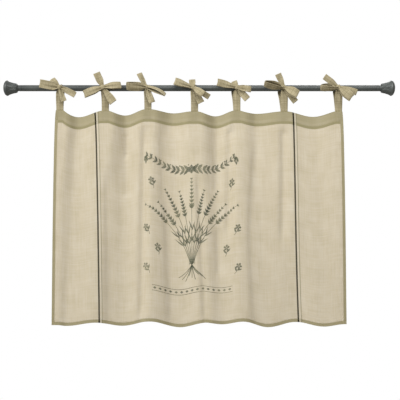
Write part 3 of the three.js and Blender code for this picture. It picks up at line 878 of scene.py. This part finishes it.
def bow_path(end, centre):
    """Path of one loop or free end from the knot, and the direction across it."""
    turn = math.radians(end.turn)
    roll = math.radians(end.roll)
    along = np.array([math.cos(turn), 0, math.sin(turn)])
    flat_across = np.array([-math.sin(turn), 0, math.cos(turn)])
    front = np.array([0.0, -1.0, 0.0])
    across = flat_across * math.cos(roll) + np.cross(along, flat_across) * math.sin(roll)
    through = front * math.cos(roll) + np.cross(along, front) * math.sin(roll)
    if end.form == "loop":
        angle = np.linspace(LOOP_START, 2 * math.pi - LOOP_START, LOOP_STEPS)
        share = wave(angle / math.pi)
        offset = end.bulge * np.sin(angle)
    else:
        share = np.linspace(0, 1, TAIL_STEPS)
        offset = np.zeros(TAIL_STEPS)
    points = centre + along * (end.reach * share)[:, None] + through * offset[:, None]
    points[:, 1] -= end.fore * share
    points[:, 2] -= end.droop * share ** 2
    spread = np.clip(share / end.spread, 0, 1)
    width = mix(RIBBON_KNOT_WIDTH, end.width, spread * spread * (3 - 2 * spread))
    return np.column_stack([points, width]), np.broadcast_to(across, points.shape)


def bow_shape(end):
    """How a loop or free end is creased: pleats out of the knot, a slight cup and a curl."""
    beat = 1.6 + 0.5 * math.sin(end.turn)
    lean = math.cos(end.turn * 1.7)

    def shape(share, v):
        reach = np.minimum(share, 1 - share) * 2 if end.form == "loop" else share
        gather = np.clip(1 - reach / 0.75, 0, 1)
        pleats = PLEAT * gather * np.cos(math.pi * (beat * v + 0.3 * lean))
        cup = CUP * (v * v - 0.4) * lean * np.clip(reach, 0, 1)
        return pleats + cup + 0.5 * np.sin(7 * reach + 2 * v + end.turn) * np.clip(reach * 2, 0, 1)
    return shape


def knot_skin(centre, lean):
    """The pulled knot: a flattened ball with the pleats of the strap that passes over it."""
    turn = np.linspace(0, 2 * math.pi, KNOT_SIDES, endpoint=False)
    tilt = np.linspace(0, math.pi, KNOT_RINGS + 2)[1:-1]
    tilt, turn = np.meshgrid(tilt, turn, indexing="ij")
    x, y, z = np.sin(tilt) * np.cos(turn), np.sin(tilt) * np.sin(turn), np.cos(tilt)
    pleats = np.cos(2 * math.pi * (x * KNOT_ACROSS + (0.3 + 0.2 * lean) * z * KNOT_TALL) / KNOT_PLEAT_SPACING)
    swell = 1 + KNOT_PLEAT * (pleats - 0.6) / KNOT_ACROSS * np.sin(tilt)
    square = 1 / (np.abs(x) ** 3 + np.abs(y) ** 3 + np.abs(z) ** 3) ** (1 / 3)
    size = (swell * mix(1, square, KNOT_SQUARE))[..., None]
    ball = np.stack([x * KNOT_ACROSS, y * KNOT_DEEP, z * KNOT_TALL], axis=-1) * size
    poles = np.array([[0, 0, KNOT_TALL * 0.95], [0, 0, -KNOT_TALL * 0.95]])
    points = np.concatenate([ball.reshape(-1, 3), poles]) + centre
    index = np.arange(KNOT_RINGS * KNOT_SIDES).reshape(KNOT_RINGS, KNOT_SIDES)
    after = np.roll(index, -1, axis=1)
    faces = np.stack([index[:-1], index[1:], after[1:], after[:-1]], axis=-1).reshape(-1, 4).tolist()
    top, bottom = len(points) - 2, len(points) - 1
    faces += [[top, int(a), int(b)] for a, b in zip(index[0], after[0])]
    faces += [[bottom, int(b), int(a)] for a, b in zip(index[-1], after[-1])]
    return points, faces


for number, (tie, ends) in enumerate(zip(TIES, BOWS), start=1):
    knot_centre = np.array([tie.x + tie.knot, KNOT_Y, KNOT_Z])
    bow_points, bow_faces = knot_skin(knot_centre, math.sin(3.1 * number))
    bow_flat = bow_points[:, [0, 2]]
    bow_edges = np.zeros(len(bow_points))
    bow_area = 2 * math.pi * KNOT_ACROSS * KNOT_TALL
    for end in ends:
        path, sideways = bow_path(end, knot_centre)
        front, back = ribbon_skin(path, sideways, RIBBON, bow_shape(end))
        points, faces = sheet_skin(front, back)
        bow_faces += [[corner + len(bow_points) for corner in face] for face in faces]
        bow_points = np.concatenate([bow_points, points / MM])
        flat, edge, area = ribbon_places(path)
        bow_flat = np.concatenate([bow_flat, flat])
        bow_edges = np.concatenate([bow_edges, edge])
        bow_area += area
    bow = mesh_piece(f"tie_{number}_bow_cloth", bow_points * MM, bow_faces, tie_linen, "tie_linen",
                     [f"tie_{number}_bow"])
    lay_uv(bow, bow_flat)
    lay_values(bow, "edge", bow_edges)


# Stitching
# Flax-coloured sewing thread in straight machine stitches, shown on both faces of the cloth.
# It holds the heading, the side and bottom hems, and a box over each pair of strap ends.
STITCH_PITCH = 3.4
STITCH_LENGTH = 2.5
STITCH_RADIUS = 0.24
STITCH_SIDES = 5
THREAD_COLOUR = "c2b48c"
THREAD_TWIST = 0.6
BOX_TOP = 4.0
BOX_BOTTOM = 23.0
BOX_HALF = 7.5


def sewing_thread():
    """Spun polyester thread with a slight sheen; its twist is 0.3 mm and is drawn at 0.6 mm as painted shade,
    in darker and lighter bands.
    """
    made, tree, out = new_material("sewing_thread_spun")
    place = add_node(tree, "ShaderNodeTexCoord").outputs["Object"]
    # Painted shade: the twist of the plies is drawn as darker and lighter bands of the thread's colour
    painted_twist_shade = lines(tree, place, "DIAGONAL", THREAD_TWIST * MM)
    colour = shades(tree, painted_twist_shade, (0.0, TIE_MID), (1.0, THREAD_COLOUR))
    face = add_node(tree, "ShaderNodeBsdfPrincipled", Base_Color=colour, Roughness=0.7, Sheen_Weight=0.2)
    tree.links.new(face.outputs["BSDF"], out.inputs["Surface"])
    return made


def on_grid(grid, u, v):
    """Points of a panel grid at flat places u across and v down."""
    column = np.clip(np.searchsorted(panel_columns, u) - 1, 0, len(panel_columns) - 2)
    line = np.clip(np.searchsorted(panel_rows, v) - 1, 0, len(panel_rows) - 2)
    s = ((u - panel_columns[column]) / (panel_columns[column + 1] - panel_columns[column]))[:, None]
    t = ((v - panel_rows[line]) / (panel_rows[line + 1] - panel_rows[line]))[:, None]
    upper = mix(grid[line, column], grid[line, column + 1], s)
    lower = mix(grid[line + 1, column], grid[line + 1, column + 1], s)
    return mix(upper, lower, t)


def seam_places(start, end):
    """Flat ends of each stitch along a straight seam from start to end."""
    start, end = np.array(start, dtype=float), np.array(end, dtype=float)
    run = end - start
    length = np.linalg.norm(run)
    count = max(1, int(length / STITCH_PITCH))
    middles = (np.arange(count) + 0.5) / count
    half = STITCH_LENGTH / 2 / length
    return start + run * (middles - half)[:, None], start + run * (middles + half)[:, None]


def stitch_skin(first, last, up):
    """Joined spindles, one for each stitch between first and last, standing on the side of up."""
    along = last - first
    side = np.cross(up, along)
    side /= np.linalg.norm(side, axis=1, keepdims=True)
    rings = ((0.0, 0.25, -0.5), (0.22, 0.85, 0.2), (0.5, 1.0, 0.5), (0.78, 0.85, 0.2), (1.0, 0.25, -0.5))
    angles = 2 * math.pi * np.arange(STITCH_SIDES) / STITCH_SIDES
    points = []
    for share, size, height in rings:
        middle = first + along * share + up * (height * STITCH_RADIUS)
        for angle in angles:
            spoke = side * math.cos(angle) + up * math.sin(angle)
            points.append(middle + spoke * (size * STITCH_RADIUS))
    points = np.stack(points, axis=1)
    faces = [tuple(range(STITCH_SIDES))]
    for ring in range(len(rings) - 1):
        for corner in range(STITCH_SIDES):
            a = ring * STITCH_SIDES + corner
            b = ring * STITCH_SIDES + (corner + 1) % STITCH_SIDES
            faces.append((a, a + STITCH_SIDES, b + STITCH_SIDES, b))
    faces.append(tuple(range(len(rings) * STITCH_SIDES - 1, (len(rings) - 1) * STITCH_SIDES - 1, -1)))
    shift = len(rings) * STITCH_SIDES
    all_faces = []
    for stitch in range(len(first)):
        all_faces += [[corner + stitch * shift for corner in face] for face in faces]
    return points.reshape(-1, 3) * MM, all_faces


def flat_at(x):
    """Flat place across the panel of a point on the heading at x along the rod."""
    return float(np.interp(x, top_line[0][:, 0], top_line[1]))


side_seam = SIDE_HEM * HEM_SEAM
SEAMS = [
    ((2, stitch_row), (panel_width - 2, stitch_row)),
    ((2, bottom_seam), (panel_width - 2, bottom_seam)),
    ((side_seam, HEADING), (side_seam, bottom_seam)),
    ((panel_width - side_seam, HEADING), (panel_width - side_seam, bottom_seam)),
]
front_seams = list(SEAMS)
for tie in TIES:
    middle = flat_at(tie.x)
    left, right = middle - BOX_HALF, middle + BOX_HALF
    corners = [(left, BOX_TOP), (right, BOX_TOP), (right, BOX_BOTTOM), (left, BOX_BOTTOM), (left, BOX_TOP)]
    front_seams += list(zip(corners[:-1], corners[1:]))
thread = sewing_thread()
sewn_faces = (("front", panel_front, 1, front_seams), ("back", panel_back, -1, SEAMS))
for face_name, grid, facing, seams in sewn_faces:
    pairs = [seam_places(start, end) for start, end in seams]
    first = np.concatenate([pair[0] for pair in pairs])
    last = np.concatenate([pair[1] for pair in pairs])
    middle = (first + last) / 2
    up = on_grid(panel_normals, middle[:, 0], middle[:, 1]) * facing
    up /= np.linalg.norm(up, axis=1, keepdims=True)
    skin = stitch_skin(on_grid(grid, *first.T), on_grid(grid, *last.T), up)
    mesh_piece(f"stitches_{face_name}", *skin, thread, "panel_linen")


# Print
# A faded grey-green design printed in the middle of the cloth: a tied sheaf of flowering stems under a swag
# of leaves, with small sprigs at its sides and a ruled row of diamonds. The ink sits on the threads.
PRINT_CENTRE = flat_at(-23)
PRINT_TOP = 118.0
PRINT_LIFT = 0.22
INK_DARK = "4f5446"
INK_WORN = "8b8a72"
INK_GRAIN = 1.8
SHEAF_TIE = 296.0
SHEAF_STEMS = 9
SHEAF_SPREAD = 84.0
STEM_LENGTH = 225.0
STEM_WIDTH = 2.0
STEM_STEPS = 40
STEM_END = 52.0
BUD_SPACING = 10.5
SWAG_HALF = 134.0
SWAG_DIP = 34.0
SWAG_LEAVES = 20
SWAG_STEPS = 90
RULE_ROW = 376.0
RULE_HALF = 118.0

ink_points = []
ink_faces = []


def ink_strip(left, right):
    """A printed shape between two edges, point by point."""
    start = len(ink_points)
    for a, b in zip(left, right):
        ink_points.extend([a, b])
    for step in range(len(left) - 1):
        a = start + 2 * step
        ink_faces.append((a, a + 2, a + 3, a + 1))


def ink_stroke(points, width, taper=0.0):
    """A drawn line of a given width through points, thinner towards its end."""
    points = np.array(points, dtype=float)
    along = np.gradient(points, axis=0)
    side = np.stack([-along[:, 1], along[:, 0]], axis=1) / np.linalg.norm(along, axis=1, keepdims=True)
    half = width / 2 * (1 - taper * np.linspace(0, 1, len(points)))[:, None]
    ink_strip(points - side * half, points + side * half)


def ink_leaf(x, y, turn, length, width, blunt=0.75):
    """A leaf, petal or bud from its foot at x, y; turn in degrees from the right towards the top."""
    t = np.linspace(0.02, 0.98, 8)
    half = width / 2 * np.sin(np.pi * t ** blunt)
    ahead = np.array([math.cos(math.radians(turn)), -math.sin(math.radians(turn))])
    side = np.array([-ahead[1], ahead[0]])
    middle = np.array([x, y]) + ahead * (length * t)[:, None]
    ink_strip(middle - side * half[:, None], middle + side * half[:, None])


def curve(start, handle, end, steps):
    return np.array([start] + curve_between(start, handle, end, steps))


def heading_of(points):
    """Direction of each step of a path in degrees, from the right towards the top."""
    along = np.gradient(points, axis=0)
    return np.degrees(np.arctan2(-along[:, 1], along[:, 0]))


def flowering_stem(lean, length):
    """A stem that leans from the sheaf's tie, with slender leaves low down and whorls of buds to its tip."""
    angle = math.radians(90 - lean)
    tip = (length * math.cos(angle), SHEAF_TIE - length * math.sin(angle))
    stem = curve((lean * 0.16, SHEAF_TIE), (tip[0] * 0.3, SHEAF_TIE - length * 0.55), tip, STEM_STEPS)
    ink_stroke(stem, STEM_WIDTH, 0.5)
    turns = heading_of(stem)
    whorls = int(length * 0.46 / BUD_SPACING)
    for whorl in range(whorls):
        step = int(STEM_STEPS - whorl * BUD_SPACING / length * STEM_STEPS)
        size = mix(6.5, 13.0, whorl / (whorls - 1))
        for sideways in (-38, 38, -14, 14):
            bud = size * (1.0 if abs(sideways) > 20 else 0.8)
            ink_leaf(*stem[step], turns[step] + sideways, bud, size * 0.36)
    for step, sideways, size in ((9, 24, 34), (9, -24, 30), (15, 20, 27), (14, -20, 29)):
        ink_leaf(*stem[step], turns[step] + sideways, size, 3.6, 0.6)


def sprig(x, y, turn):
    """A small five-petalled flower on a curved stalk with two leaves."""
    ahead = np.array([math.cos(math.radians(turn)), -math.sin(math.radians(turn))])
    side = np.array([-ahead[1], ahead[0]])
    foot = np.array([x, y])
    stalk = curve(tuple(foot), tuple(foot + ahead * 12 + side * 5), tuple(foot + ahead * 24), 12)
    ink_stroke(stalk, 1.3)
    for petal in range(5):
        ink_leaf(*stalk[-1], turn + petal * 72, 9.5, 6.0, 1.5)
    ink_leaf(*stalk[4], turn + 48, 16, 5.0)
    ink_leaf(*stalk[6], turn - 46, 14, 4.6)


def swag():
    """A hanging string of leaves and berries."""
    middle = SWAG_STEPS // 2
    string = curve((-SWAG_HALF, 8), (0, 8 + 2 * SWAG_DIP), (SWAG_HALF, 8), SWAG_STEPS)
    ink_stroke(string, 1.2)
    turns = heading_of(string)
    for leaf in range(SWAG_LEAVES):
        step = int((leaf + 0.5) / SWAG_LEAVES * SWAG_STEPS)
        outward = 1 if leaf * 2 >= SWAG_LEAVES else -1
        along = turns[step] if outward > 0 else turns[step] + 180
        size = mix(13, 21, 1 - abs(step - middle) / middle)
        ink_leaf(*string[step], along + 42, size, size * 0.4)
        ink_leaf(*string[step], along - 42, size, size * 0.4)
        if leaf % 2:
            ink_leaf(string[step][0] - 2.2, string[step][1] - size * 0.6, 0, 4.4, 4.4, 1.0)
    for petal in range(6):
        ink_leaf(*string[middle], 90 + petal * 60, 12.5, 7.5, 1.4)
    for side in (-1, 1):
        for turn, size in ((270, 24), (248, 17), (292, 17)):
            ink_leaf(side * SWAG_HALF, 10, turn, size, size * 0.36)


def ruled_row():
    """Two thin rules with diamonds between them."""
    for row in (-7.5, 7.5):
        ink_stroke([(x, RULE_ROW + row) for x in np.linspace(-RULE_HALF, RULE_HALF, 80)], 1.3)
    for place in np.linspace(-RULE_HALF + 8, RULE_HALF - 8, 15):
        ink_strip([(place - 4.6, RULE_ROW - 0.1), (place, RULE_ROW - 3.6), (place + 4.6, RULE_ROW - 0.1)],
                  [(place - 4.6, RULE_ROW + 0.1), (place, RULE_ROW + 3.6), (place + 4.6, RULE_ROW + 0.1)])


def printed_ink():
    """Water-based textile ink, screen printed and washed: matt, thin, missing where the weave stood back.
    The real gaps are one thread wide; they are drawn at 1.8 mm."""
    made, tree, out = new_material("textile_ink_screen_printed")
    place = add_node(tree, "ShaderNodeTexCoord").outputs["Object"]
    grain = patches(tree, place, INK_GRAIN * MM, 2.0)
    wash = patches(tree, place, INK_GRAIN * 18 * MM, 2.0)
    colour = shades(tree, wash, (0.3, INK_DARK), (0.75, INK_WORN))
    wear = rescale(tree, grain, From_Min=0.3, From_Max=0.6, To_Min=0.35, To_Max=0.95)
    face = add_node(tree, "ShaderNodeBsdfPrincipled", Base_Color=colour, Roughness=0.95,
                    Specular_IOR_Level=0.2, Alpha=wear)
    tree.links.new(face.outputs["BSDF"], out.inputs["Surface"])
    return made


for stem in range(SHEAF_STEMS):
    lean = mix(-SHEAF_SPREAD / 2, SHEAF_SPREAD / 2, stem / (SHEAF_STEMS - 1))
    flowering_stem(lean, STEM_LENGTH * (1 - 0.22 * abs(lean) / SHEAF_SPREAD - 0.09 * (stem % 2)))
    foot = (-lean * 0.95, SHEAF_TIE + STEM_END * (1 - 0.12 * (stem % 3)))
    bend = (-lean * 0.2, SHEAF_TIE + STEM_END * 0.5)
    ink_stroke(curve((lean * 0.16, SHEAF_TIE), bend, foot, 14), STEM_WIDTH)
for row in (-5, 0, 5):
    ink_stroke([(x, SHEAF_TIE + row + 0.02 * x * x) for x in np.linspace(-9, 9, 10)], 2.6)
for side in (-1, 1):
    for x, y, turn in ((112, 100, 74), (124, 228, 60), (98, 282, 82), (124, 336, 58)):
        sprig(side * x, y, turn if side > 0 else 180 - turn)
swag()
ruled_row()
ink_flat = np.array(ink_points, dtype=float) + np.array([PRINT_CENTRE, PRINT_TOP])
ink_up = on_grid(panel_normals, *ink_flat.T)
ink_places = on_grid(panel_front, *ink_flat.T) + ink_up * PRINT_LIFT
printed = mesh_piece("printed_design", ink_places * MM, ink_faces, printed_ink(), "panel_linen")


# Studio
# A grey floor well below the curtain, surroundings that look white and shine a little warm, a large soft
# light from the upper left, a fill from the front, one from behind, and a level camera before the cloth.
FLOOR_HEIGHT = -1.35
FLOOR_HALF = 1.5
FLOOR_COLOUR = "bdbab4"
PIXEL = 2.8 * MM
FRAME_PIXELS = 400
CAMERA_DISTANCE = 2.2
CAMERA_X = 2.2 * MM
CAMERA_Z = -313 * MM
SENSOR = 36.0
SURROUND = 0.325
SURROUND_COLOUR = "fff9ee"

floor_mesh = bpy.data.meshes.new("studio_floor")
floor_turns = ((-1, -1), (1, -1), (1, 1), (-1, 1))
floor_corners = [(x * FLOOR_HALF, y * FLOOR_HALF, FLOOR_HEIGHT) for x, y in floor_turns]
floor_mesh.from_pydata(floor_corners, [], [(0, 1, 2, 3)])
floor_paint, floor_tree, floor_out = new_material("studio_paper")
paper = add_node(floor_tree, "ShaderNodeBsdfPrincipled", Base_Color=linear(FLOOR_COLOUR), Roughness=0.9)
floor_tree.links.new(paper.outputs["BSDF"], floor_out.inputs["Surface"])
floor_mesh.materials.append(floor_paint)
floor = bpy.data.objects.new("studio_floor", floor_mesh)
bpy.context.collection.objects.link(floor)

world = bpy.data.worlds.new("studio_surround")
bpy.context.scene.world = world
world.use_nodes = True
world.node_tree.nodes.clear()
seen = add_node(world.node_tree, "ShaderNodeLightPath").outputs["Is Camera Ray"]
strength = rescale(world.node_tree, seen, To_Min=SURROUND, To_Max=1.0)
warmth = mix_colours(world.node_tree, seen, linear(SURROUND_COLOUR), (1.0, 1.0, 1.0, 1.0))
surround = add_node(world.node_tree, "ShaderNodeBackground", Color=warmth, Strength=strength)
add_node(world.node_tree, "ShaderNodeOutputWorld", Surface=surround.outputs["Background"])

# One row for each soft light: place, how wide and tall it is, and its power in watts
LIGHTS = rows(
    "name place wide tall power",
    ("key_upper_left", (-3.8, -2.4, 2.0), 1.6, 1.6, 196),
    ("fill_front", (0.4, -1.35, 1.15), 1.8, 0.8, 27),
    ("fill_back", (1.0, 2.4, 1.7), 1.6, 1.6, 36),
)
middle_of_cloth = Vector((0, 0, CAMERA_Z))
for light in LIGHTS:
    data = bpy.data.lights.new(light.name, "AREA")
    data.shape = "RECTANGLE"
    data.size = light.wide
    data.size_y = light.tall
    data.energy = light.power
    lamp = bpy.data.objects.new(light.name, data)
    lamp.location = light.place
    lamp.rotation_euler = (middle_of_cloth - lamp.location).to_track_quat("-Z", "Y").to_euler()
    bpy.context.collection.objects.link(lamp)

camera_data = bpy.data.cameras.new("front_camera")
camera_data.sensor_width = SENSOR
camera_data.lens = SENSOR * CAMERA_DISTANCE / (FRAME_PIXELS * PIXEL)
camera = bpy.data.objects.new("front_camera", camera_data)
camera.location = (CAMERA_X, -CAMERA_DISTANCE, CAMERA_Z)
camera.rotation_euler = (math.radians(90), 0, 0)
bpy.context.collection.objects.link(camera)
bpy.context.scene.camera = camera
bpy.context.scene.view_settings.view_transform = "Standard"
